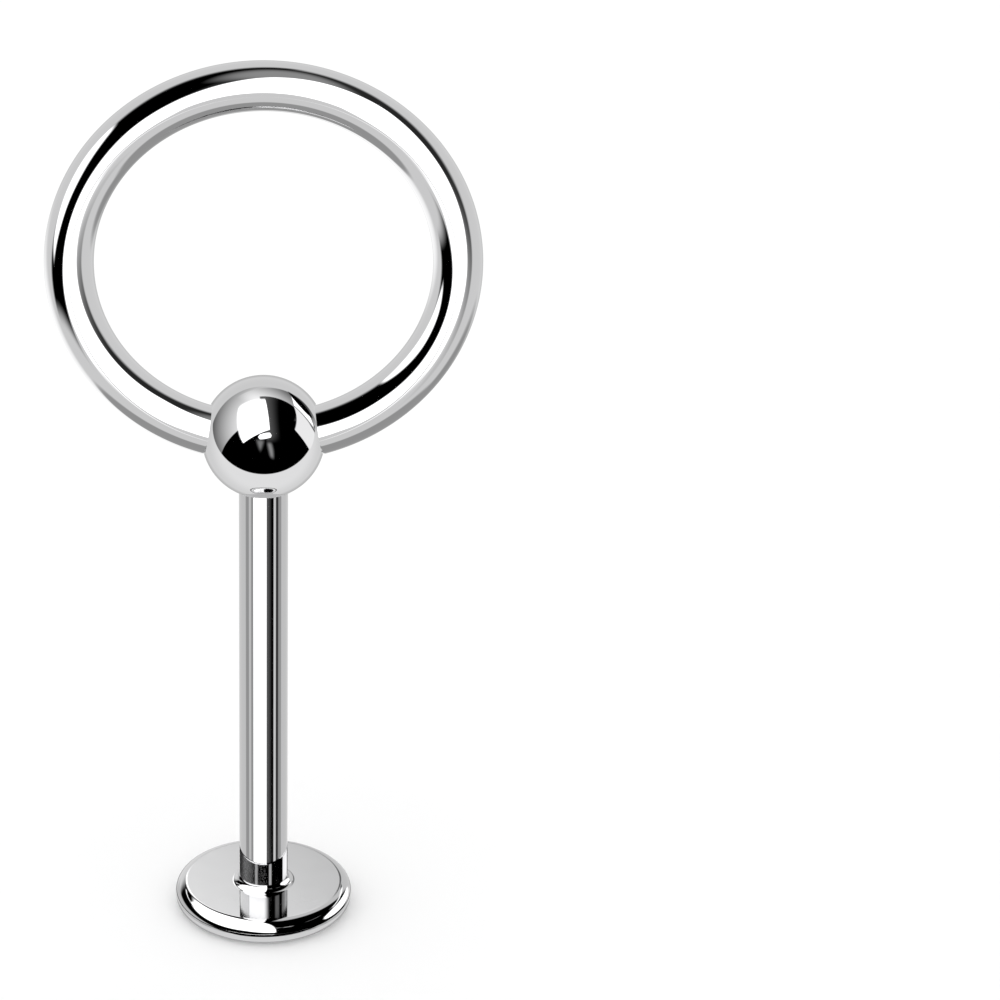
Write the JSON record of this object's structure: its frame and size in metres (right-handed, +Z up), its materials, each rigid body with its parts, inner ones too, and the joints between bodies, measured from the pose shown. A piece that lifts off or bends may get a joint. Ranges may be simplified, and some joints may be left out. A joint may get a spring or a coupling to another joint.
{
  "type": "labret stud with ring",
  "caption": "Body jewellery stud: a round back disc on a straight post, a ball screwed on the post's threaded end, and a wire ring whose two ends swing in cups in the ball.",
  "frame": {"origin": "under the middle of the back disc, on the face that the stud stands on", "axes": "+Z runs up the post from the disc to the ball and the ring, and the ring lies in the XZ plane, so +Y is across it"},
  "size_m": [0.0104, 0.0044, 0.023],
  "materials": {
    "polished_steel": "mirror-polished surgical steel, bare metal",
    "machined_steel": "turned surgical steel, bare metal"
  },
  "bodies": {
    "stud": {"stud": "polished_steel"},
    "thread": {"thread": "machined_steel"},
    "ball": {"ball": "polished_steel"},
    "ring": {"ring": "polished_steel"}
  },
  "joints": [
    {"name": "ball_unscrew", "type": "slide", "parent": "stud", "child": "ball", "axis": [0, 0, 1], "range_m": [0, 0.0015]},
    {"name": "thread_turn", "type": "hinge", "parent": "stud", "child": "thread", "pos_m": [0, 0, 0.01185], "axis": [0, 0, -1], "range_deg": [0, 2161]},
    {"name": "ring_swing", "type": "hinge", "parent": "ball", "child": "ring", "pos_m": [0, 0, 0.01336], "axis": [1, 0, 0], "range_deg": [-170, 170]}
  ],
  "couplings": [
    {"joint": "thread_turn", "follows": "ball_unscrew", "rad_per_m": 25133}
  ]
}
